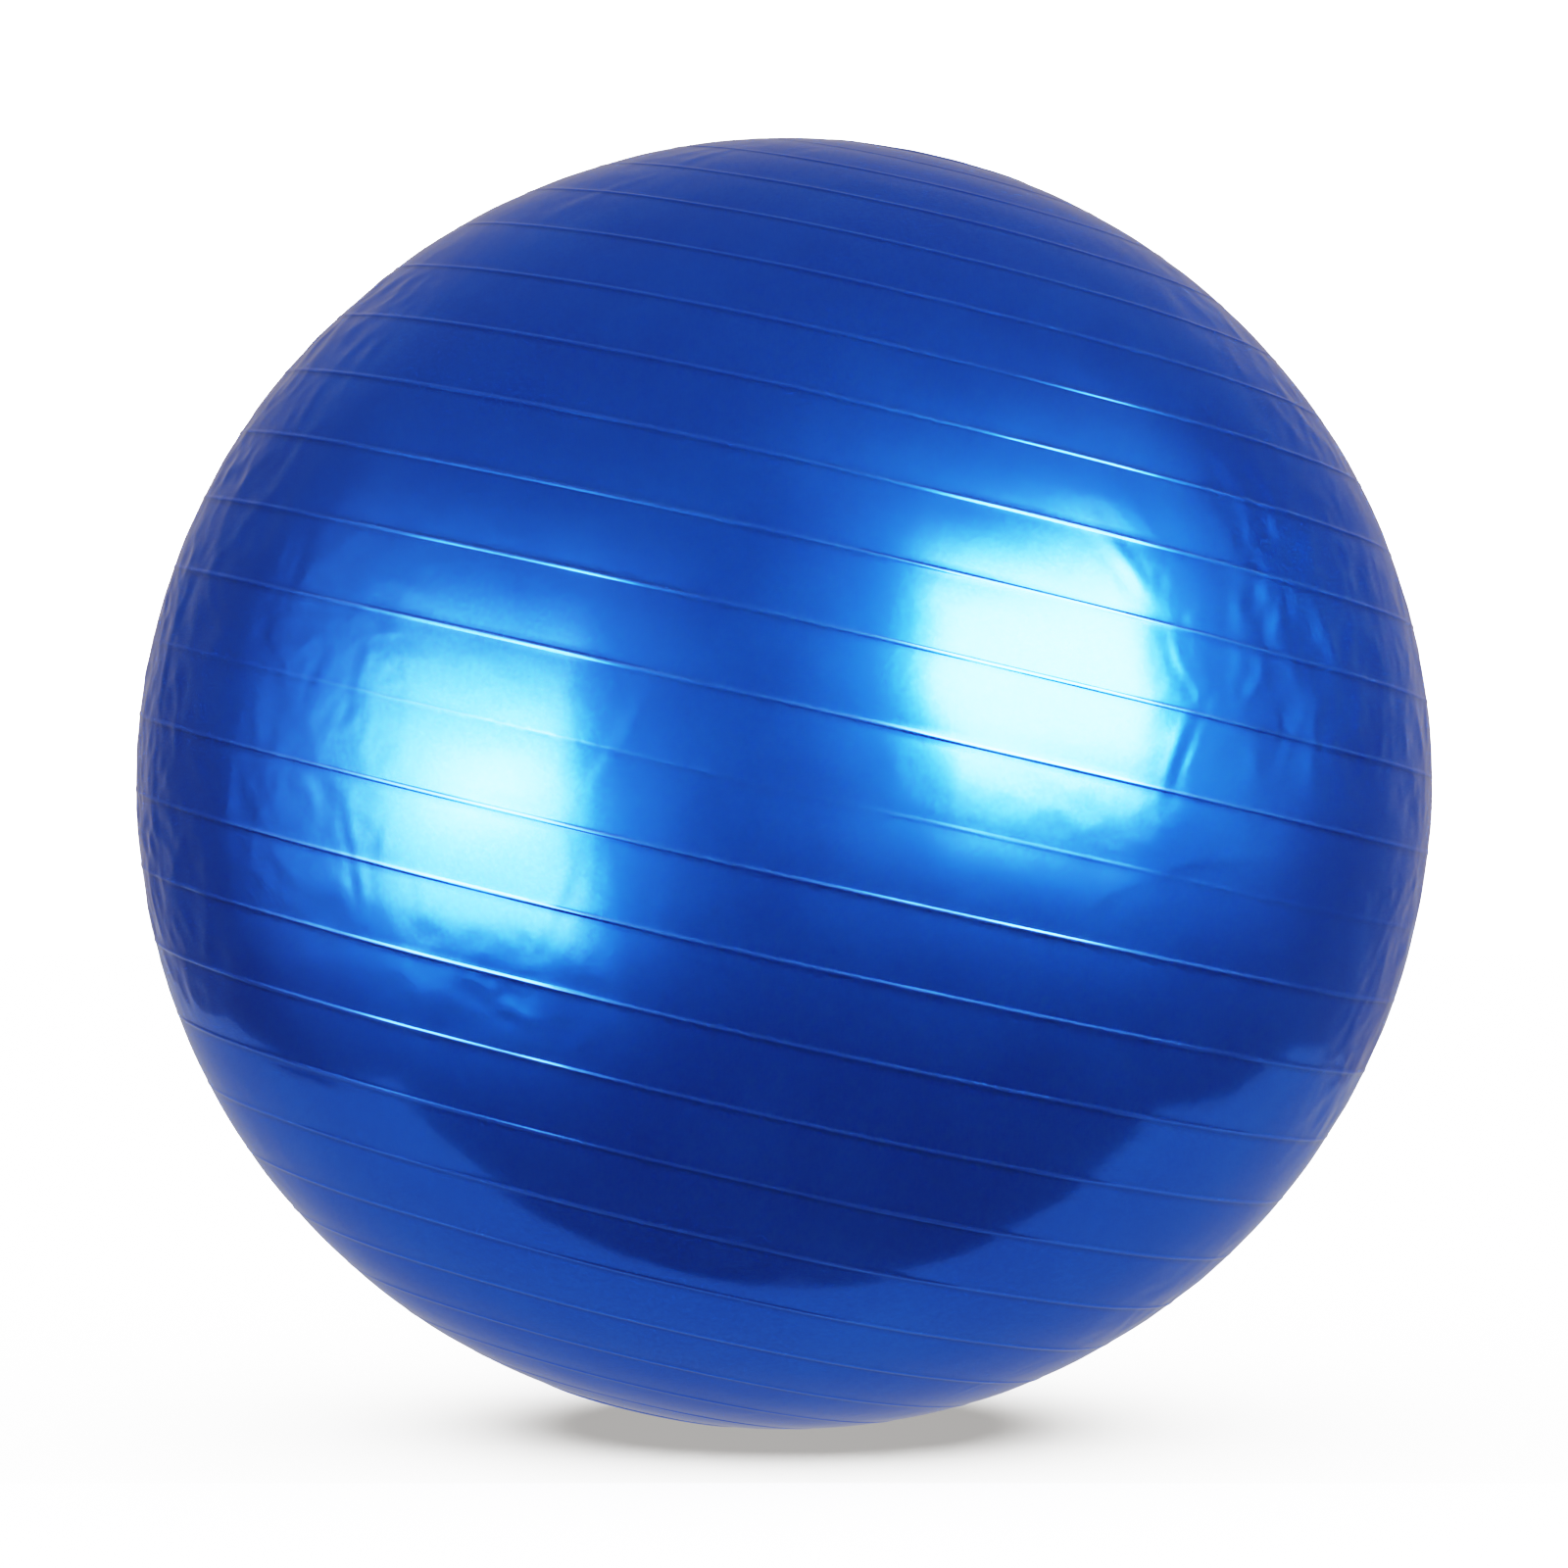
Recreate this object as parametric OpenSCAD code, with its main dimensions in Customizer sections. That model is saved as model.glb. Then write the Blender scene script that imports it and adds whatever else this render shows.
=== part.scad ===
// Exercise ball: a ribbed inflatable ball standing on the floor, with its valve sleeve and air plug.
// Millimetres. +Z is up, z = 0 is the floor, and the origin is the centre of the ball's contact patch.
// The rib rings share one axis, which leans towards +X. The valve is on the +Y side.

/* [Ball] */
// Diameter of the inflated ball, measured over its ribs
ball_d = 650; // [550:50:850]
// Wall thickness of the inflated ball
wall = 0.8; // [0.6:0.1:1.5]
// Radius of the patch that the ball's own weight flattens on the floor
patch_r = 31; // [20:1:40]
// Lean of the rib rings' axis away from upright, towards +X, in degrees
lean = 12.9; // [0:0.1:20]

/* [Ribs] */
// Number of ribs on each side of the middle rib
ribs_per_side = 12; // [8:1:12]
// Angle between neighbouring ribs, seen from the ball's centre, in degrees
rib_step = 6.67; // [6.5:0.01:7]
// Height of a rib above the skin
rib_h = 0.4; // [0.3:0.05:1]
// Width of a rib where it leaves the skin
rib_w = 3; // [2:0.1:4]
// Diameter of the round mould mark on each pole
pole_mark_d = 16; // [10:1:24]

/* [Valve] */
// Diameter of the thicker round pad that surrounds the valve, between two ribs
pad_d = 28; // [26:1:29]
// Diameter of the hole in the ball that the sleeve is bonded into
hole_d = 22; // [21:0.5:23]
// Diameter of the sleeve's bore, which takes the plug or a pump nozzle
bore_d = 9; // [8.5:0.1:10]
// Length of the sleeve from its outer face to its inner end
sleeve_l = 24; // [20:1:30]

/* [Air plug] */
// Diameter of the plug's head
head_d = 18; // [16:0.5:18.5]
// Thickness of the plug's head
head_h = 2.2; // [2:0.1:3]
// Length of the plug's stem under its head
stem_l = 20; // [16:1:24]
// Number of sealing rings around the stem
seal_rings = 4; // [2:1:5]

/* [Hidden] */

// Smoothness of the ball's rings and of the small valve pieces
$fn = 96;
ball_fn = 180;

// Radii of the ball, and the height of its centre above the floor
rib_crest_r = ball_d / 2;
skin_r = rib_crest_r - rib_h;
inner_r = skin_r - wall;
centre_h = sqrt(skin_r * skin_r - patch_r * patch_r);

// A rib is a bead whose circle passes through both edges and the crest of the rib
bead_r = (pow(rib_w / 2, 2) + pow(rib_h, 2)) / (2 * rib_h);
bead_centre_r = rib_crest_r - bead_r;

// Raised round marks: the pad at the valve and the mark on each pole
pad_h = 0.5;
pole_mark_h = 0.3;

// The valve sits halfway between the middle rib and the next one up
valve_latitude = rib_step / 2;

// Heights in the valve's own frame, where z = 0 is the skin and +Z points out of the ball
face_z = pad_h;
recess_d = head_d + 1;
recess_h = 1.6;
seat_z = face_z - recess_h;
sleeve_end_z = face_z - sleeve_l;
tube_d = bore_d + 5;
flange_d = hole_d + 12;
flange_h = 1.2;
neck_depth = wall + flange_h;
mouth_h = 1;

// Plug sizes: the rings run in the bore, and the stem between them is thinner
running_gap = 0.05;
head_gap = 0.1;
head_round = 0.7;
ring_d = bore_d - 2 * running_gap;
stem_d = ring_d - 1;
ring_h = 1.6;
ring_pitch = stem_l / (seal_rings + 1);
tip_h = 3;
tip_d = stem_d - 1.6;
nail_notch_d = 5;

// Places its children in the ball's own frame: origin at the ball's centre, +Z along the rings' axis
module ball_frame() {
  translate([0, 0, centre_h]) rotate([0, lean, 0]) children();
}

// Places its children in the valve's frame: origin on the skin, +Z pointing straight out of the ball
module valve_frame() {
  ball_frame() rotate([valve_latitude - 90, 0, 0]) translate([0, 0, skin_r]) children();
}

// Everything above a level, with room for the whole ball
module above(level) {
  translate([-ball_d, -ball_d, level]) cube([2 * ball_d, 2 * ball_d, 2 * ball_d]);
}

// One rib: a bead around the ball at a latitude, sunk by inset
module rib(latitude, inset) {
  path_r = bead_centre_r - inset;
  translate([0, 0, path_r * sin(latitude)])
    rotate_extrude($fn = ball_fn)
      translate([path_r * cos(latitude), 0]) circle(r = bead_r, $fn = 32);
}

// The skin with all its ribs, sunk by inset: 0 is its outer face and the wall's thickness its inner one
module ribbed_ball(inset) {
  sphere(r = skin_r - inset, $fn = ball_fn);
  for (i = [-ribs_per_side:ribs_per_side]) rib(i * rib_step, inset);
}

// A round patch of skin around the +Z axis that stands proud by h
module raised_disc(d, h) {
  intersection() {
    sphere(r = skin_r + h, $fn = ball_fn);
    cylinder(d = d, h = ball_d);
  }
}

// The ball's outer shape before the floor flattens it
module outer_shape() {
  ribbed_ball(0);
  for (side = [0, 180]) rotate([side, 0, 0]) raised_disc(pole_mark_d, pole_mark_h);
  rotate([valve_latitude - 90, 0, 0]) raised_disc(pad_d, pad_h);
}

// The air space inside the wall, which has the same thickness under the ribs and over the floor
module air_space() {
  intersection() {
    ball_frame() ribbed_ball(wall);
    above(wall);
  }
}

// One-piece hollow PVC ball with its ribs, open only at the hole for the valve sleeve
module ball_shell() {
  color("royalblue")
    difference() {
      intersection() {
        ball_frame() outer_shape();
        above(0);
      }
      air_space();
      valve_frame() translate([0, 0, -sleeve_l]) cylinder(d = hole_d, h = 2 * sleeve_l);
    }
}

// Soft sleeve bonded into the ball: a neck through the wall, a flange under it and a tube inwards
module valve_sleeve() {
  color("cornflowerblue")
    difference() {
      union() {
        valve_frame() translate([0, 0, -neck_depth]) cylinder(d = hole_d, h = neck_depth + face_z);
        valve_frame() translate([0, 0, sleeve_end_z]) cylinder(d = tube_d, h = sleeve_l);
        intersection() {
          ball_frame() difference() {
            sphere(r = inner_r, $fn = ball_fn);
            sphere(r = inner_r - flange_h, $fn = ball_fn);
          }
          valve_frame() translate([0, 0, -sleeve_l]) cylinder(d = flange_d, h = 2 * sleeve_l);
        }
      }
      valve_frame() translate([0, 0, -2 * sleeve_l]) cylinder(d = bore_d, h = 3 * sleeve_l);
      valve_frame() translate([0, 0, seat_z]) cylinder(d = recess_d, h = sleeve_l);
      valve_frame() translate([0, 0, sleeve_end_z]) cylinder(d1 = bore_d + 2, d2 = bore_d, h = mouth_h);
    }
}

// Section through half of the plug's head, with a rounded upper edge
module head_section() {
  square([head_d / 2 - head_round, head_h]);
  square([head_d / 2, head_h - head_round]);
  translate([head_d / 2 - head_round, head_h - head_round]) circle(r = head_round, $fn = 32);
}

// Stopper that is pushed into the sleeve: a flat head with a fingernail notch in its rim, and a stem
// with sealing rings and a tapered tip
module air_plug() {
  color("white")
    valve_frame() translate([0, 0, seat_z + head_gap])
      difference() {
        union() {
          rotate_extrude() head_section();
          translate([0, 0, -stem_l]) cylinder(d = stem_d, h = stem_l);
          translate([0, 0, -stem_l - tip_h]) cylinder(d1 = tip_d, d2 = stem_d, h = tip_h);
          for (i = [1:seal_rings])
            translate([0, 0, -i * ring_pitch - ring_h / 2]) cylinder(d = ring_d, h = ring_h);
        }
        translate([(head_d + nail_notch_d) / 2 - 1, 0, -1]) cylinder(d = nail_notch_d, h = head_h + 2);
      }
}

ball_shell();
valve_sleeve();
air_plug();
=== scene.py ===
"""Exercise ball: a glossy blue inflated PVC ball with moulded hoop ribs, a valve sleeve and an air plug."""

import math

import bmesh
import bpy
import numpy as np
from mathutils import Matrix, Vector


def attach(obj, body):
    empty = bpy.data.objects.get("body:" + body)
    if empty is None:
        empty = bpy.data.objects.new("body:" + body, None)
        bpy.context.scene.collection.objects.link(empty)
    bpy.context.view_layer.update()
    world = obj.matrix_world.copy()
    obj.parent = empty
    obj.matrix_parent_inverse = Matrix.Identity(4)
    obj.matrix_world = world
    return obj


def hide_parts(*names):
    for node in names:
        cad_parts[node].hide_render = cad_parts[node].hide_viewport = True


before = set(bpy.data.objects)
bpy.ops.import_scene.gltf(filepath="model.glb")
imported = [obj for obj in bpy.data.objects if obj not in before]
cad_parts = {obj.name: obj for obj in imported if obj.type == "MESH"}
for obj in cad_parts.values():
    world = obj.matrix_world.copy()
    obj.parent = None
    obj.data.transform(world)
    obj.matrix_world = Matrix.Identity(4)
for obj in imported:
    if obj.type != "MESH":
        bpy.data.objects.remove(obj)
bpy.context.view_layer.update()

# ---------------------------------------------------------------- sizes, as in the CAD model

# In metres, with angles in degrees.

BALL_R = 0.325
RIB_HEIGHT = 0.0004
RIB_WIDTH = 0.0030
RIBS_PER_SIDE = 12
RIB_STEP = 6.67
LEAN = 12.9
POLE_MARK_R = 0.008
POLE_MARK_HEIGHT = 0.0003
HOLE_R = 0.011
PAD_R = 0.014
PAD_HEIGHT = 0.0005
WALL = 0.0008
PATCH_R = 0.031

SKIN_R = BALL_R - RIB_HEIGHT
CENTRE = Vector((0, 0, math.sqrt(SKIN_R**2 - PATCH_R**2)))

# The ball's own frame: FRONT is the side towards the camera, AXIS runs through both poles of the ribs.
# Below, lam is a longitude in degrees, 0 at FRONT and growing towards RIGHT, and phi is a latitude.
lean = math.radians(LEAN)
AXIS = np.array([math.sin(lean), 0, math.cos(lean)])
FRONT = np.array([0.0, -1.0, 0.0])
RIGHT = np.array([math.cos(lean), 0, -math.sin(lean)])


def direction(lam, phi):
    """Unit vectors from the ball's centre towards the longitudes and latitudes."""
    turn, rise = np.radians(lam), np.radians(phi)
    flat = np.cos(turn)[..., None] * FRONT + np.sin(turn)[..., None] * RIGHT
    return np.cos(rise)[..., None] * flat + np.sin(rise)[..., None] * AXIS


VALVE_PHI = RIB_STEP / 2
VALVE = direction(np.array(180.0), np.array(VALVE_PHI))


# ---------------------------------------------------------------- camera

CAMERA_LENS = 123.1
CAMERA_DISTANCE = 2.70
CAMERA_RISE = 0.5
CAMERA_AIM = Vector((0, 0, 0.3225))


def make_camera():
    data = bpy.data.cameras.new("Camera")
    data.sensor_width = 36
    data.lens = CAMERA_LENS
    data.clip_start, data.clip_end = 0.05, 60
    cam = bpy.data.objects.new("Camera", data)
    bpy.context.collection.objects.link(cam)
    rise = math.radians(CAMERA_RISE)
    cam.location = CAMERA_AIM + CAMERA_DISTANCE * Vector((0, -math.cos(rise), math.sin(rise)))
    cam.rotation_euler = (math.radians(90 - CAMERA_RISE), 0, 0)
    bpy.context.scene.camera = cam


make_camera()


# ---------------------------------------------------------------- node helpers

def new_material(name):
    mat = bpy.data.materials.new(name)
    mat.use_nodes = True
    mat.node_tree.nodes.clear()
    return mat, mat.node_tree


def node(tree, kind, **values):
    n = tree.nodes.new(kind)
    for key, value in values.items():
        if key.startswith("in_"):
            n.inputs[key[3:].replace("_", " ")].default_value = value
        else:
            setattr(n, key, value)
    return n


def link(tree, a, out, b, inp):
    tree.links.new(a.outputs[out], b.inputs[inp])


def ramp(tree, stops):
    n = tree.nodes.new("ShaderNodeValToRGB")
    n.color_ramp.elements[0].position, n.color_ramp.elements[0].color = stops[0]
    n.color_ramp.elements[1].position, n.color_ramp.elements[1].color = stops[-1]
    for position, color in stops[1:-1]:
        n.color_ramp.elements.new(position).color = color
    return n


def grey(v):
    return (v, v, v, 1)


# ---------------------------------------------------------------- the ball's skin

# A rib's height as a share of the CAD rib's. The middle rib keeps a part of that, less where it is pitted.
RIB_FULLNESS = 0.62
MIDDLE_RIB_FULLNESS, MIDDLE_RIB_PITS = 0.16, 0.35
RIB_UNEVENNESS = 0.16
# Heights in metres of the band between two ribs, and of what lies over it.
BAND_CROWN = 0.00022
SLOW_LUMPS, SMALL_LUMPS = 0.0007, 0.00010
BAND_SWAY = 0.000045
BIG_FACETS, FINE_FACETS = 0.00030, 0.00010
# The mean of a sine over half a turn, which keeps a crowned band's mean height at the skin's.
MEAN_SINE = 0.64
# Creases are given in mm, and drawn at this share of it.
CREASE_SCALE = 0.65 * 0.001
# The skin is plain up to the first distance from the valve's middle, and fully uneven from the second.
PLAIN_TO, UNEVEN_FROM = PAD_R + 0.002, PAD_R + 0.030
# The valve's pad overlaps the rim of the opening in the skin by this much.
PAD_OVERLAP = 0.0012
# How the ball rests: how far its top sinks, how softly its foot bends flat, and the foot's gap to the floor.
TOP_SINK = 0.0030
FLOOR_ROUNDING = 0.0005
FLOOR_GAP = 0.00005


def smoothstep(a, b, x):
    """Rises from 0 at a to 1 at b, flat at both ends."""
    t = np.clip((x - a) / (b - a), 0, 1)
    return t * t * (3 - 2 * t)


def soft_noise(lam, phi, scale, seed):
    """Smooth repeatable noise over the ball, about -1 to 1: a sum of plane waves through it."""
    waves = 14
    rng = np.random.default_rng(seed)
    n = direction(lam, phi)
    total = np.zeros(lam.shape)
    for _ in range(waves):
        d = rng.normal(size=3)
        d *= scale * rng.uniform(0.6, 1.4) / np.linalg.norm(d)
        total += np.sin(n @ d + rng.uniform(0, 2 * math.pi))
    return total / math.sqrt(waves / 2)


def fold_distance(lam, phi, points):
    """Distance in degrees to a line through the points, the side of it, and how far along it, 0 to 1."""
    best = np.full(lam.shape, 1e9)
    side = np.zeros(lam.shape)
    along = np.zeros(lam.shape)
    n = len(points) - 1
    for i, ((l0, p0), (l1, p1)) in enumerate(zip(points, points[1:])):
        squeeze = math.cos(math.radians((p0 + p1) / 2))
        ex, ey = (l1 - l0) * squeeze, p1 - p0
        long = math.hypot(ex, ey)
        x, y = (lam - l0) * squeeze, phi - p0
        t = np.clip((x * ex + y * ey) / long**2, 0, 1)
        d = np.hypot(x - t * ex, y - t * ey)
        near = d < best
        best = np.where(near, d, best)
        side = np.where(near, np.sign(x * ey - y * ex), side)
        along = np.where(near, (i + t) / n, along)
    return best, side, along


def fold(lam, phi, points, width, height, tilt):
    """A ridge along the points, its width in degrees, with a hollow beside it where tilt is above 0."""
    reach = width * 5
    ls, ps = [p[0] for p in points], [p[1] for p in points]
    middle = (min(ls) + max(ls)) / 2
    lam = middle + (lam - middle + 180) % 360 - 180
    out = np.zeros(lam.shape)
    close = (
        (lam > min(ls) - 2 * reach) & (lam < max(ls) + 2 * reach)
        & (phi > min(ps) - reach) & (phi < max(ps) + reach)
    )
    if not close.any():
        return out
    d, side, along = fold_distance(lam[close], phi[close], points)
    fade = np.clip(np.sin(math.pi * np.clip(along, 0.02, 0.98)), 0, 1) ** 0.6
    ridge = np.exp(-((d / width) ** 2))
    beside = np.where(side > 0, d, -d)
    hollow = np.exp(-((beside / width - 1.4) ** 2))
    out[close] = height * fade * (ridge - tilt * hollow)
    return out


def rib_profile(offset):
    """Height of a moulded rib across its width, offset in metres from its middle."""
    t = np.clip(np.abs(offset) / (RIB_WIDTH / 2), 0, 1)
    return RIB_FULLNESS * RIB_HEIGHT * (1 - t**2.2) ** 2


def relief(lam, phi):
    """Everything that stands above or below the plain skin, in metres."""
    k = np.clip(np.round(phi / RIB_STEP), -RIBS_PER_SIDE, RIBS_PER_SIDE)
    offset = np.radians(phi - k * RIB_STEP) * SKIN_R
    ribs = rib_profile(offset)
    # The parting line of the mould, on the middle rib, is rough in places.
    middle = (k == 0) & (ribs > 0)
    rough = smoothstep(0.1, 1.2, soft_noise(lam, np.zeros(lam.shape), 9, 5))
    turn = np.radians(lam)
    pits = 0.5 + 0.5 * np.sin(turn * 991 + 3 * np.sin(turn * 292))
    middle_ribs = ribs * (MIDDLE_RIB_FULLNESS - MIDDLE_RIB_PITS * rough * pits)
    ribs = np.where(middle, middle_ribs, ribs * (1 + RIB_UNEVENNESS * soft_noise(lam, phi, 22, 41)))
    # Each band between two ribs is blown up a little.
    inside = np.abs(phi) < RIBS_PER_SIDE * RIB_STEP
    across = (phi / RIB_STEP) % 1
    crown = np.where(inside, BAND_CROWN * (np.sin(math.pi * across) - MEAN_SINE), 0)
    # Slow lumps of the whole ball, and smaller ones that differ from band to band.
    lumps = SLOW_LUMPS * soft_noise(lam, phi, 3.2, 11) + SMALL_LUMPS * soft_noise(lam, phi, 14, 12)
    band = np.floor(phi / RIB_STEP)
    sway = BAND_SWAY * np.sin(turn * 12 + band * 2.4) * np.sin(math.pi * across)
    folds = (creases(lam, phi) + crumple(lam, phi)) * (0.35 + 0.65 * np.sin(math.pi * across) ** 0.5)
    # The skin is plain around the valve, so that the pad fits it.
    near_valve = np.arccos(np.clip(direction(lam, phi) @ VALVE, -1, 1)) * SKIN_R
    uneven = smoothstep(PLAIN_TO, UNEVEN_FROM, near_valve)
    pole = POLE_MARK_R / SKIN_R
    mark = POLE_MARK_HEIGHT * (1 - smoothstep(pole * 0.9, pole * 1.05, np.radians(90 - np.abs(phi))))
    return ribs + (crown + lumps + sway + folds) * uneven + mark


def spot(lam, phi, l0, l1, p0, p1, soft):
    """1 inside a patch of longitudes and latitudes, falling to 0 over the soft width around it."""
    inside_l = smoothstep(l0 - soft, l0 + soft, lam) * (1 - smoothstep(l1 - soft, l1 + soft, lam))
    return inside_l * smoothstep(p0 - soft, p0 + soft, phi) * (1 - smoothstep(p1 - soft, p1 + soft, phi))


def crumple(lam, phi):
    """Facets with sharp edges, where the thin skin was folded up in its box."""
    amount = 0.10 + 0.20 * np.clip(soft_noise(lam, phi, 4, 31), 0, 1)
    # Each patch: its first and last longitude and latitude, and how strong its facets are.
    for l0, l1, p0, p1, level in (
        (37, 62, 10, 38, 1.9), (62, 84, -20, 34, 1.0), (46, 78, 38, 66, 0.9), (-84, -56, -30, 40, 1.5),
        (-55, -34, -24, 14, 0.6), (-32, -8, -28, -18, 0.5), (24, 44, -8, 3, 0.35), (-60, -44, 45, 72, 0.5),
        (60, 84, -50, -30, 0.5), (110, 165, -35, 42, 0.6), (-165, -110, -50, 30, 0.6),
    ):
        amount = np.maximum(amount, level * spot(lam, phi, l0, l1, p0, p1, 5))
    big = np.abs(soft_noise(lam, phi, 42, 32)) + 0.6 * np.abs(soft_noise(lam, phi, 70, 33))
    fine = np.abs(soft_noise(lam, phi, 110, 34))
    return amount * (-BIG_FACETS * big - FINE_FACETS * fine)


def creases(lam, phi):
    """Long creases where the real ball has them, and short ones scattered over its folded patches."""
    out = np.zeros(lam.shape)
    # Each: the longitudes and latitudes that it runs through, width in degrees, height in mm, and tilt.
    lines = [
        ([(21.5, 28), (25, 25), (28, 22.5)], 0.8, 0.34, 0.6),
        ([(30.5, 21), (31.5, 17.5), (34, 15), (36.5, 17.5), (36.5, 20)], 0.55, 0.20, 0.5),
        ([(35.5, 15), (34, 12.5), (33, 9.5), (32, 5)], 0.75, -0.42, 0.7),
        ([(34.8, 13), (33.6, 9.5), (33, 7.5)], 0.45, 0.26, 0.0),
        ([(27, -3.5), (31, -1), (35.5, 1.5), (40, 2.6), (45, 3)], 0.7, 0.26, 0.5),
        ([(60, 42), (61.5, 43.5), (64, 45.5)], 0.6, 0.35, 0.6),
        ([(62, 42), (59.8, 40.5)], 0.6, 0.30, 0.4),
        ([(57.5, 22), (58.5, 27), (58, 34)], 0.7, 0.14, 0.4),
        ([(56.5, 15), (57.5, 20)], 0.6, 0.14, 0.4),
        ([(59.5, 14), (60, 10)], 0.6, 0.14, 0.4),
        ([(66, 27), (69, 24.5), (73, 22)], 0.7, 0.22, 0.4),
        ([(65, -2), (66.5, -0.5), (65, -4)], 0.7, 0.25, 0.5),
        ([(41.5, 27), (39.8, 22)], 0.5, -0.20, 0.6),
        ([(45, 26.5), (48, 24), (49.5, 22)], 0.5, 0.16, 0.5),
        ([(36.5, 25.5), (38, 24.5)], 0.5, -0.20, 0.4),
        ([(33, 26.5), (31, 25), (30, 22.5)], 0.6, 0.18, 0.3),
        ([(-46, 58), (-47, 63), (-46, 68)], 0.8, 0.35, 0.5),
        ([(-46, 58), (-49, 54), (-52, 50)], 0.8, 0.28, 0.5),
        ([(-60, 41), (-66, 36), (-72, 30)], 1.0, 0.30, 0.4),
        ([(-66, 7.5), (-68.5, 4), (-69, 0), (-69, -12), (-67.5, -22)], 0.8, -0.40, 0.6),
        ([(-60.5, 11), (-64, 8), (-66, 5)], 0.8, 0.30, 0.4),
        ([(-64, 25), (-63, 19), (-66, 14)], 0.8, 0.25, 0.4),
        ([(-45.5, -5.4), (-47.5, -7.2)], 0.8, 0.30, 0.8),
        ([(-51.5, -5.5), (-50.5, -9), (-47, -12.5), (-43.5, -16), (-41.5, -18.5)], 0.8, 0.22, 0.5),
        ([(-50, 14.5), (-49.3, 6), (-47.5, 2.5)], 0.5, -0.16, 0.5),
        ([(-50, 5), (-43, 5.8), (-38, 7)], 0.6, -0.18, 0.4),
        ([(-40, 14), (-42, 11)], 0.4, 0.12, 0.0),
        ([(-38, 4), (-38, 0), (-37.5, -4)], 0.6, 0.18, 0.6),
        ([(-36, 1), (-34.5, 4), (-33, 2), (-32, -4)], 0.5, 0.10, 0.4),
        ([(-37, -9.5), (-35.5, -13), (-34, -18)], 0.6, 0.30, 0.7),
        ([(-32.5, -10), (-33, -13.5)], 0.5, 0.18, 0.5),
        ([(-24, -20), (-21.5, -22), (-20, -20)], 0.6, 0.26, 0.5),
        ([(-21, -23), (-18, -22.5)], 0.6, 0.26, 0.4),
        ([(-12, 6), (-13, 2), (-15, -3)], 0.7, 0.14, 0.5),
        ([(-17, -16), (-15.5, -10)], 0.7, 0.16, 0.5),
        ([(-7, -4), (-7.5, -16)], 0.6, 0.10, 0.4),
        ([(65, -38), (68, -41), (72, -44)], 0.8, 0.30, 0.5),
        ([(50, 49), (58, 46), (66, 49)], 0.9, 0.20, 0.5),
        ([(60, 46), (64, 52), (68, 55)], 0.9, 0.20, 0.5),
    ]
    for points, width, height, tilt in lines:
        out += fold(lam, phi, points, width, height * CREASE_SCALE, tilt)
    # Each patch: its first and last longitude and latitude, and how many short creases it has.
    rng = np.random.default_rng(2)
    patches = [
        (30, 60, 14, 35, 46), (52, 74, -4, 30, 22), (-74, -52, -24, 28, 26), (-50, -18, -26, 12, 16),
        (56, 76, 34, 60, 14), (100, 170, -30, 40, 46), (-170, -100, -40, 30, 40), (150, 210, -55, 55, 30),
        (-60, 60, 55, 78, 14), (-60, 60, -70, -50, 10),
    ]
    for l0, l1, p0, p1, count in patches:
        for _ in range(count):
            l, p = rng.uniform(l0, l1), rng.uniform(p0, p1)
            turn = rng.normal(math.pi / 2, 0.55)
            long = rng.uniform(1.5, 4.5)
            bend = rng.normal(0, 0.5)
            middle = (l + math.cos(turn) * long / 2 + bend * 0.5, p + math.sin(turn) * long / 2)
            end = (l + math.cos(turn + bend) * long, p + math.sin(turn + bend) * long)
            points = [(l, p), middle, end]
            out += fold(lam, phi, points, rng.uniform(0.35, 0.7), rng.normal(0, 0.09) * 0.001, 0.5)
    return out


def painted_rib_light_tone(phi):
    """Painted light for the ribs: a painted highlight up to 1 on a rib's crest, painted shade down to -1
    along its foot, 0 away from ribs.
    """
    k = np.clip(np.round(phi / RIB_STEP), -RIBS_PER_SIDE, RIBS_PER_SIDE)
    mm = np.radians(phi - k * RIB_STEP) * SKIN_R * 1000
    crest = np.exp(-(((mm - 0.35) / 0.75) ** 2))
    tone = crest - np.exp(-(((mm + 1.3) / 0.65) ** 2)) - 0.3 * np.exp(-(((mm - 1.8) / 0.5) ** 2))
    return np.where(k == 0, 0.5 * tone, tone)


def skin_rows():
    """Latitudes of the skin's mesh: close together over each rib, and closest by the valve."""
    half = [0.3, 0.58, 0.85, 1.08, 1.28, 1.55]
    over_rib = np.array([-h for h in reversed(half)] + [0] + half) * 0.001 * math.degrees(1 / SKIN_R)
    rib_edge = over_rib[-1]
    rows = []
    for k in range(-RIBS_PER_SIDE, RIBS_PER_SIDE + 1):
        rows += list(k * RIB_STEP + over_rib)
        if k < RIBS_PER_SIDE:
            rows += list(np.linspace(k * RIB_STEP + rib_edge, (k + 1) * RIB_STEP - rib_edge, 14)[1:-1])
    pole = math.degrees(POLE_MARK_R / SKIN_R)
    last = RIBS_PER_SIDE * RIB_STEP + rib_edge
    rows = [r for r in rows if abs(r - VALVE_PHI) > 2.4]
    rows += list(VALVE_PHI + np.linspace(-2.35, 2.35, 48))
    cap = list(np.linspace(last, 90 - pole * 1.2, 18)[1:])
    cap += [90 - pole * f for f in (1.1, 1.03, 0.97, 0.9, 0.7, 0.4, 0.15)]
    return np.array(sorted([-c for c in cap] + rows + cap))


def skin_columns():
    """Longitudes of the skin's mesh: closer together on the front half, and closest by the valve."""
    front = np.arange(-84, 84, 0.4)
    back = [c for c in np.arange(84, 276, 0.8) if abs(c - 180) > 2.9]
    back += list(180 + np.linspace(-2.8, 2.8, 57))
    return np.concatenate([front, np.sort(back)])


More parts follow.
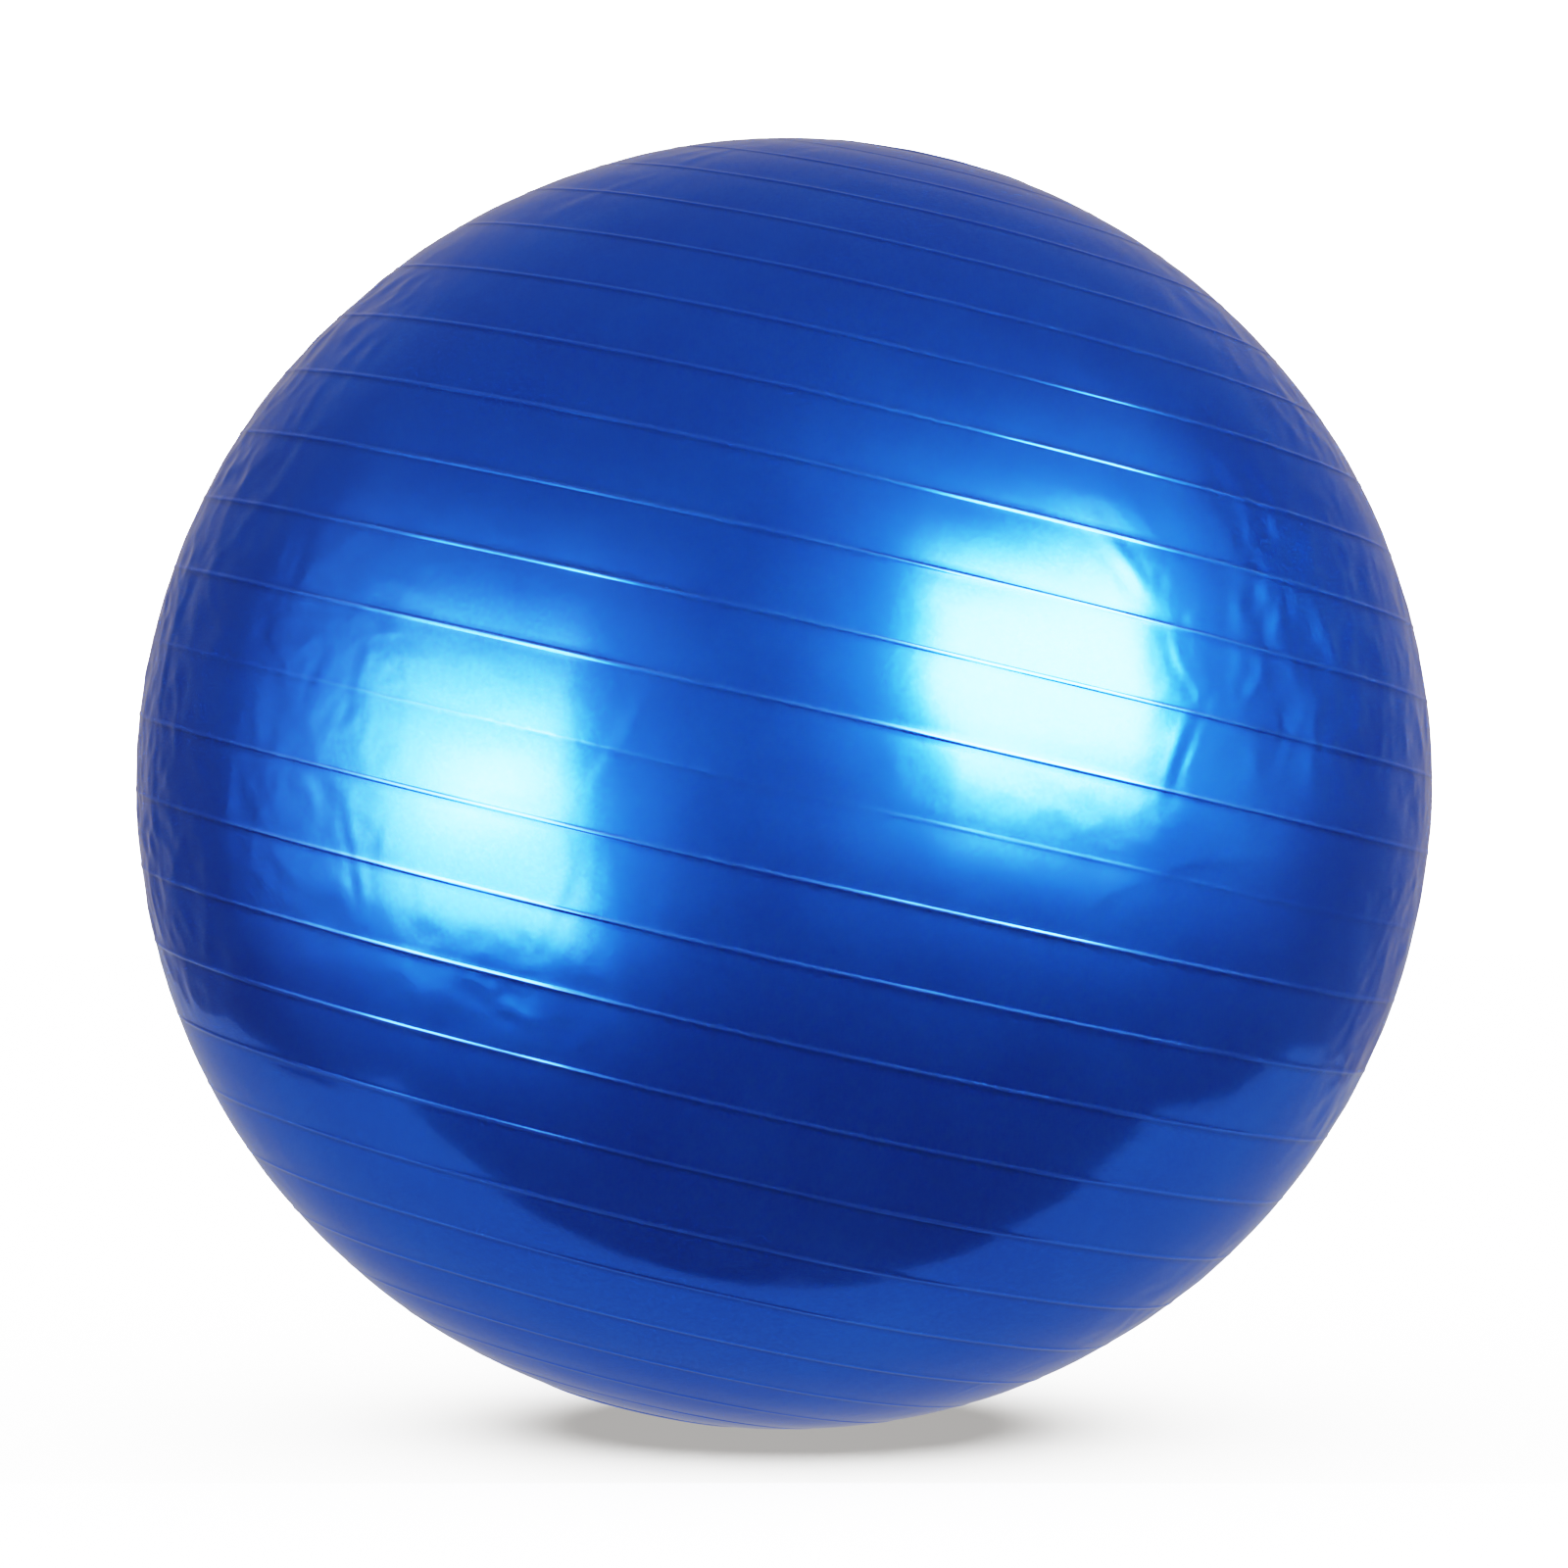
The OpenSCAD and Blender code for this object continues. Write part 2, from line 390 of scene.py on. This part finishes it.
def settle(points):
    """Rests the skin on the floor: what would lie below it is pressed flat, and the top sinks a little."""
    z = points[:, 2]
    z = z - TOP_SINK * smoothstep(0.40, 0.66, z)
    z = 0.5 * (z + np.sqrt(z**2 + FLOOR_ROUNDING**2))
    points[:, 2] = np.maximum(z, FLOOR_GAP)
    return points


def skin_points(lam, phi):
    radius = SKIN_R + relief(lam, phi)
    return direction(lam, phi) * radius[..., None] + np.array(CENTRE)


def mesh_from(name, points, faces):
    mesh = bpy.data.meshes.new(name)
    mesh.from_pydata([tuple(p) for p in points], [], faces)
    mesh.update()
    mesh.shade_smooth()
    obj = bpy.data.objects.new(name, mesh)
    bpy.context.collection.objects.link(obj)
    return obj


def make_skin():
    """The ball's outer skin as one mesh, with the ribs' painted shade and highlights stored at its points."""
    rows, cols = skin_rows(), skin_columns()
    lam, phi = np.meshgrid(cols, rows)
    wrapped = np.where(lam > 180, lam - 360, lam)
    points = skin_points(wrapped, phi)
    nr, nc = lam.shape
    grid = points.reshape(-1, 3)
    poles = np.array([skin_points(np.array([0.0]), np.array([a]))[0] for a in (-90.0, 90.0)])
    verts = settle(np.vstack([grid, poles]))
    index = np.arange(nr * nc).reshape(nr, nc)
    right = np.roll(index, -1, axis=1)
    quads = np.stack([index[:-1], right[:-1], right[1:], index[1:]], axis=-1).reshape(-1, 4)
    # The skin is open under the valve's pad, which overlaps the rim of the opening.
    n = direction(wrapped, phi).reshape(-1, 3)
    near = np.arccos(np.clip(n @ VALVE, -1, 1)) * SKIN_R < PAD_R - PAD_OVERLAP
    quads = quads[~near[quads].any(axis=1)]
    south, north = nr * nc, nr * nc + 1
    caps = [(int(right[0, j]), int(index[0, j]), south) for j in range(nc)]
    caps += [(int(index[-1, j]), int(right[-1, j]), north) for j in range(nc)]

    mesh = bpy.data.meshes.new("Ball_Skin")
    loops = np.concatenate([quads.ravel(), np.array(caps).ravel()]).astype(np.int32)
    sizes = np.concatenate([np.full(len(quads), 4), np.full(len(caps), 3)]).astype(np.int32)
    starts = np.concatenate([[0], np.cumsum(sizes)[:-1]]).astype(np.int32)
    mesh.vertices.add(len(verts))
    mesh.vertices.foreach_set("co", verts.astype(np.float32).ravel())
    mesh.loops.add(len(loops))
    mesh.loops.foreach_set("vertex_index", loops)
    mesh.polygons.add(len(sizes))
    mesh.polygons.foreach_set("loop_start", starts)
    mesh.polygons.foreach_set("loop_total", sizes)
    mesh.update(calc_edges=True)
    # Painted shade and highlight of the ribs, one value for each point; the two poles get none.
    tone = np.concatenate([painted_rib_light_tone(phi).ravel(), [0, 0]])
    layer = mesh.attributes.new("painted_rib_light", "FLOAT", "POINT")
    layer.data.foreach_set("value", tone.astype(np.float32))
    mesh.validate()
    mesh.shade_smooth()
    obj = bpy.data.objects.new("Ball_Skin", mesh)
    bpy.context.collection.objects.link(obj)
    return obj


# ---------------------------------------------------------------- materials

def skin_material():
    """Blue pearl PVC under a clear gloss."""
    mat, tree = new_material("Ball_Pvc")
    out = node(tree, "ShaderNodeOutputMaterial")
    where = node(tree, "ShaderNodeTexCoord")
    # Pearl pigment: very fine flakes and slow clouds in the blue.
    flakes = node(tree, "ShaderNodeTexNoise", in_Scale=420.0, in_Detail=3.0, in_Roughness=0.6)
    clouds = node(tree, "ShaderNodeTexNoise", in_Scale=14.0, in_Detail=4.0, in_Roughness=0.55)
    link(tree, where, "Object", flakes, "Vector")
    link(tree, where, "Object", clouds, "Vector")
    mix = node(tree, "ShaderNodeMix", data_type="FLOAT", in_Factor=0.45)
    link(tree, flakes, "Fac", mix, 2)
    link(tree, clouds, "Fac", mix, 3)
    blues = [(0.35, (0.017, 0.130, 0.75, 1)), (0.5, (0.020, 0.150, 0.81, 1)), (0.65, (0.024, 0.174, 0.87, 1))]
    blue = ramp(tree, blues)
    link(tree, mix, 0, blue, "Fac")
    # Painted shade darkens the blue along the foot of each rib, and a painted highlight makes its crest
    # paler.
    painted_rib_light = node(tree, "ShaderNodeAttribute", attribute_name="painted_rib_light")
    shade = node(tree, "ShaderNodeMapRange", in_From_Min=-1, in_From_Max=1, in_To_Min=0.78, in_To_Max=1.3)
    link(tree, painted_rib_light, "Fac", shade, "Value")
    toned = node(tree, "ShaderNodeVectorMath", operation="SCALE")
    link(tree, blue, "Color", toned, 0)
    link(tree, shade, "Result", toned, "Scale")
    # The painted highlight: a rib's crest is mixed towards a pale lavender.
    painted_crest_highlight = node(tree, "ShaderNodeMapRange", in_From_Min=0.2, in_From_Max=1, in_To_Min=0, in_To_Max=0.4)
    link(tree, painted_rib_light, "Fac", painted_crest_highlight, "Value")
    paler = node(tree, "ShaderNodeMix", data_type="RGBA")
    paler.inputs[7].default_value = (0.12, 0.27, 0.90, 1)
    link(tree, painted_crest_highlight, "Result", paler, 0)
    link(tree, toned, "Vector", paler, 6)
    # Moulded PVC isn't quite flat: a faint orange peel.
    peel = node(tree, "ShaderNodeTexNoise", in_Scale=150.0, in_Detail=3.0, in_Roughness=0.5)
    link(tree, where, "Object", peel, "Vector")
    bump = node(tree, "ShaderNodeBump", in_Strength=0.22, in_Distance=0.0002)
    link(tree, peel, "Fac", bump, "Height")
    # Pearl scatters light widely deep in the film and more tightly near its face, under a clear gloss.
    shaders = []
    for low, high in ((0.38, 0.48), (0.12, 0.19)):
        rough = node(tree, "ShaderNodeMapRange", in_To_Min=low, in_To_Max=high)
        link(tree, clouds, "Fac", rough, "Value")
        shader = node(
            tree, "ShaderNodeBsdfPrincipled", in_Metallic=1.0, in_Specular_Tint=(0.55, 0.65, 0.95, 1),
            in_Coat_Weight=0.42, in_Coat_Roughness=0.03, in_Coat_IOR=1.42,
        )
        link(tree, paler, 2, shader, "Base Color")
        link(tree, rough, "Result", shader, "Roughness")
        link(tree, bump, "Normal", shader, "Normal")
        shaders.append(shader)
    both = node(tree, "ShaderNodeMixShader", in_Fac=0.86)
    link(tree, shaders[0], 0, both, 1)
    link(tree, shaders[1], 0, both, 2)
    link(tree, both, 0, out, "Surface")
    return mat


def plastic_material(name, dark, light, rough, scale, bump_mm):
    """Moulded plastic: a little mottled, with uneven gloss and a fine grain."""
    mat, tree = new_material(name)
    out = node(tree, "ShaderNodeOutputMaterial")
    where = node(tree, "ShaderNodeTexCoord")
    noise = node(tree, "ShaderNodeTexNoise", in_Scale=scale, in_Detail=4.0)
    link(tree, where, "Object", noise, "Vector")
    colour = ramp(tree, [(0.3, (*dark, 1)), (0.7, (*light, 1))])
    link(tree, noise, "Fac", colour, "Fac")
    spread = node(tree, "ShaderNodeMapRange", in_To_Min=rough - 0.08, in_To_Max=rough + 0.08)
    link(tree, noise, "Fac", spread, "Value")
    bump = node(tree, "ShaderNodeBump", in_Strength=0.4, in_Distance=bump_mm * 0.001)
    link(tree, noise, "Fac", bump, "Height")
    shader = node(tree, "ShaderNodeBsdfPrincipled")
    link(tree, colour, "Color", shader, "Base Color")
    link(tree, spread, "Result", shader, "Roughness")
    link(tree, bump, "Normal", shader, "Normal")
    link(tree, shader, 0, out, "Surface")
    return mat


def dress(name, mat):
    """Gives a CAD node its material."""
    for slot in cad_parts[name].material_slots:
        slot.material = mat


def make_pad():
    """The thicker ring of skin round the valve's hole, with a rounded outer edge that sinks into the skin."""
    # The section: distances from the valve's middle, and heights over a skin that falls away by r * r * dome.
    dome = 1 / (2 * SKIN_R)
    hole_r = HOLE_R + 0.00002
    section = [(hole_r, -WALL), (hole_r, 0.00022), (HOLE_R + 0.00016, PAD_HEIGHT - HOLE_R**2 * dome)]
    section += [(r, PAD_HEIGHT - r * r * dome) for r in (0.0117, 0.0123, 0.0129)]
    rim_r = PAD_R - 0.0007
    rim_z = -0.00025 - rim_r**2 * dome
    for turn in (20, 45, 70, 90):
        a = math.radians(turn)
        section.append((rim_r + (PAD_R - rim_r) * math.sin(a), rim_z + 0.00075 * math.cos(a)))
    section.append((PAD_R, -WALL))
    turns = 96
    out = np.array(VALVE)
    side = np.array(RIGHT)
    up = np.cross(out, side)
    base = np.array(CENTRE) + out * SKIN_R
    points, faces = [], []
    n = len(section)
    for i in range(turns):
        a = 2 * math.pi * i / turns
        ray = math.cos(a) * side + math.sin(a) * up
        points += [base + ray * r + out * z for r, z in section]
        here, after = i * n, (i + 1) % turns * n
        for j in range(n):
            k = (j + 1) % n
            faces.append((here + j, after + j, after + k, here + k))
    return mesh_from("Valve_Pad", points, faces)


skin = make_skin()
skin.data.materials.append(skin_material())
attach(skin, "ball")
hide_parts("ball_shell")

pad = make_pad()
pad.data.materials.append(skin.data.materials[0])
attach(pad, "ball")

sleeve_pvc = plastic_material("Sleeve_Pvc", (0.008, 0.055, 0.33), (0.012, 0.080, 0.42), 0.30, 260, 0.05)
dress("valve_sleeve", sleeve_pvc)
plug_plastic = plastic_material("Plug_Plastic", (0.40, 0.42, 0.44), (0.52, 0.53, 0.54), 0.38, 420, 0.04)
dress("air_plug", plug_plastic)


# ---------------------------------------------------------------- stage

def glow_material(name):
    """Emission whose colour and brightness are stored at the mesh's points."""
    mat, tree = new_material(name)
    out = node(tree, "ShaderNodeOutputMaterial")
    glow = node(tree, "ShaderNodeEmission")
    attribute = node(tree, "ShaderNodeAttribute", attribute_name="glow")
    link(tree, attribute, "Color", glow, "Color")
    link(tree, glow, 0, out, "Surface")
    mat.cycles.emission_sampling = "NONE"
    return mat


def set_glow(obj, rgb):
    """rgb has one colour for each point of the mesh."""
    rgba = np.concatenate([rgb.reshape(-1, 3), np.ones((rgb.size // 3, 1))], axis=1)
    layer = obj.data.attributes.new("glow", "FLOAT_COLOR", "POINT")
    layer.data.foreach_set("color", rgba.astype(np.float32).ravel())
    obj.data.materials.append(glow_material(obj.name))


def studio_piece(obj, camera=False, glossy=True, diffuse=True):
    """A piece of the studio, seen by the kinds of ray that are named. It casts no shadow."""
    obj.visible_camera = camera
    obj.visible_glossy = glossy
    obj.visible_diffuse = diffuse
    obj.visible_transmission = False
    obj.visible_shadow = False


def sky(az, el):
    """Directions from the ball: azimuth 0 towards the camera and positive to its right, elevation up."""
    a, e = np.radians(az), np.radians(el)
    return np.stack([np.sin(a) * np.cos(e), -np.cos(a) * np.cos(e), np.sin(e)], axis=-1)


def sky_patch(name, azs, els, radius, glow):
    """A piece of a sphere round the ball that faces it, with its brightness at each point."""
    az, el = np.meshgrid(azs, els)
    points = (sky(az, el) * radius + np.array(CENTRE)).reshape(-1, 3)
    nr, nc = az.shape
    i = np.arange(nr * nc).reshape(nr, nc)
    faces = np.stack([i[:-1, :-1], i[:-1, 1:], i[1:, 1:], i[1:, :-1]], axis=-1).reshape(-1, 4)
    obj = mesh_from(name, points, faces.tolist())
    set_glow(obj, glow(az, el))
    return obj


def edge(x, width):
    """Rises softly from 0 to 1 around x = 0."""
    return 1 / (1 + np.exp(-np.clip(x / width, -40, 40)))


def room_glow(az, el):
    """The dim room that the ball mirrors, paler by the horizon, overhead and round both softboxes."""
    level = 0.36 + 0.25 * smoothstep(10, 70, el) + 0.16 * np.exp(-(((el - 8) / 28) ** 2))
    level = level + 0.22 * smoothstep(112, 150, np.abs(az)) * (1 - smoothstep(30, 75, el))
    shade = smoothstep(96, 116, -az) * (1 - smoothstep(135, 172, -az)) * (1 - smoothstep(5, 35, el))
    level = level * (1 - 0.28 * shade)
    level = level + 0.9 * edge(az + 99, 4) * edge(-19 - az, 4) * edge(el + 16, 5) * edge(34 - el, 5)
    level = level + 0.5 * edge(az - 6, 4) * edge(96 - az, 5) * edge(el + 14, 5) * edge(56 - el, 5)
    return level[..., None] * np.array([1.1, 1.0, 1.0])


def softbox(name, az0, az1, el0, el1, glow):
    """A softbox fades into the room round it, which it hides."""
    obj = sky_patch(name, np.linspace(az0, az1, 90), np.linspace(el0, el1, 90), 5.0,
                    lambda az, el: room_glow(az, el) + glow(az, el)[..., None])
    studio_piece(obj)


def left_glow(az, el):
    """A tall softbox, brightest in its middle, with its lower outer corner cut off."""
    hot = np.exp(-(((az + 49) / 13) ** 2) - ((el + 1) / 6.5) ** 2)
    across = edge(az + 71, 4) * edge(-35.5 + 0.03 * el - az, 1.4) * edge(el + 24 + 0.35 * (az + 50), 3)
    return (27 + 38 * hot) * across * edge(el + 24, 2) * edge(14 - el, 4)


def right_glow(az, el):
    """An even softbox whose inner edge bulges."""
    inner = 25.4 + np.minimum(0.03 * (el - 15) ** 2, 2.5)
    outer = 65.6 + 0.2 * (el - 15)
    return 68 * edge(az - inner, 1.6) * edge(outer - az, 1.3) * edge(el - 0.8, 2.8) * edge(31.2 - el, 2.6)


softbox("Softbox_Left", -110, -10, -50, 60, left_glow)
softbox("Softbox_Right", 0, 98, -34, 70, right_glow)

room = sky_patch("Room", np.linspace(-180, 180, 181), np.linspace(-89.9, 89.9, 91), 6.0, room_glow)
studio_piece(room)


def make_table_card():
    """The white table top that the ball mirrors: its front edge runs just in front of the ball."""
    outline = [
        (-0.42, -0.216), (0.36, -0.216), (0.45, -0.11), (0.52, -0.06), (0.61, 0.04), (0.66, 0.21),
        (0.60, 0.50), (0.62, 1.2), (1.6, 4.5), (-1.6, 4.5), (-1.05, 1.9), (-0.88, 0.77), (-0.73, 0.275),
        (-0.50, -0.08),
    ]
    points = [(x, y, 0.0) for x, y in outline]
    obj = mesh_from("Table_Card", points, [list(range(len(points)))])
    set_glow(obj, np.tile([0.88, 0.86, 0.84], (len(points), 1)))
    studio_piece(obj)


make_table_card()


def make_floor():
    """The pale floor that the camera sees, and that nothing mirrors."""
    bm = bmesh.new()
    bmesh.ops.create_grid(bm, x_segments=8, y_segments=8, size=14)
    mesh = bpy.data.meshes.new("Floor")
    bm.to_mesh(mesh)
    bm.free()
    obj = bpy.data.objects.new("Floor", mesh)
    bpy.context.collection.objects.link(obj)
    mat, tree = new_material("Floor")
    out = node(tree, "ShaderNodeOutputMaterial")
    shader = node(tree, "ShaderNodeBsdfDiffuse", in_Color=grey(0.9))
    link(tree, shader, 0, out, "Surface")
    obj.data.materials.append(mat)
    studio_piece(obj, camera=True, glossy=False, diffuse=False)


make_floor()


def make_lights():
    """A wide soft light from above, for the floor and the plastic pieces. Nothing mirrors it."""
    data = bpy.data.lights.new("Overhead", "SUN")
    data.angle = math.radians(110)
    data.energy = 75
    lamp = bpy.data.objects.new("Overhead", data)
    lamp.location = (0, 0, 4.5)
    bpy.context.collection.objects.link(lamp)
    lamp.visible_camera = False
    lamp.visible_glossy = False


make_lights()


def make_world():
    """White behind everything, seen by the camera alone."""
    world = bpy.data.worlds.new("World")
    bpy.context.scene.world = world
    world.use_nodes = True
    world.node_tree.nodes["Background"].inputs["Color"].default_value = grey(1)
    world.node_tree.nodes["Background"].inputs["Strength"].default_value = 24
    world.cycles_visibility.diffuse = False
    world.cycles_visibility.glossy = False
    world.cycles_visibility.transmission = False
    world.cycles_visibility.scatter = False


make_world()


# ---------------------------------------------------------------- the picture's tone

WHITE = 16
SLOPE = 1.4


def tone(x):
    """Brightness for a value of the scene, as a share of the most it could be."""
    return x**SLOPE / (1 + x**SLOPE)


def make_tone():
    """A soft toe and shoulder like a camera's, from 0 to the value that comes out white."""
    view = bpy.context.scene.view_settings
    view.view_transform = "Standard"
    view.look = "None"
    view.use_curve_mapping = True
    curves = view.curve_mapping
    curves.white_level = (WHITE, WHITE, WHITE)
    curve = curves.curves[3]
    points = [(0, 0)]
    for x in (0.05, 0.1, 0.18, 0.3, 0.45, 0.65, 0.9, 1.2, 1.6, 2.2, 3, 4, 5.5, 7.5, 10, 13, WHITE):
        points.append((x / WHITE, tone(x) / tone(WHITE)))
    while len(curve.points) < len(points):
        curve.points.new(0.5, 0.5)
    for p, xy in zip(curve.points, points):
        p.location = xy
    curves.update()


make_tone()
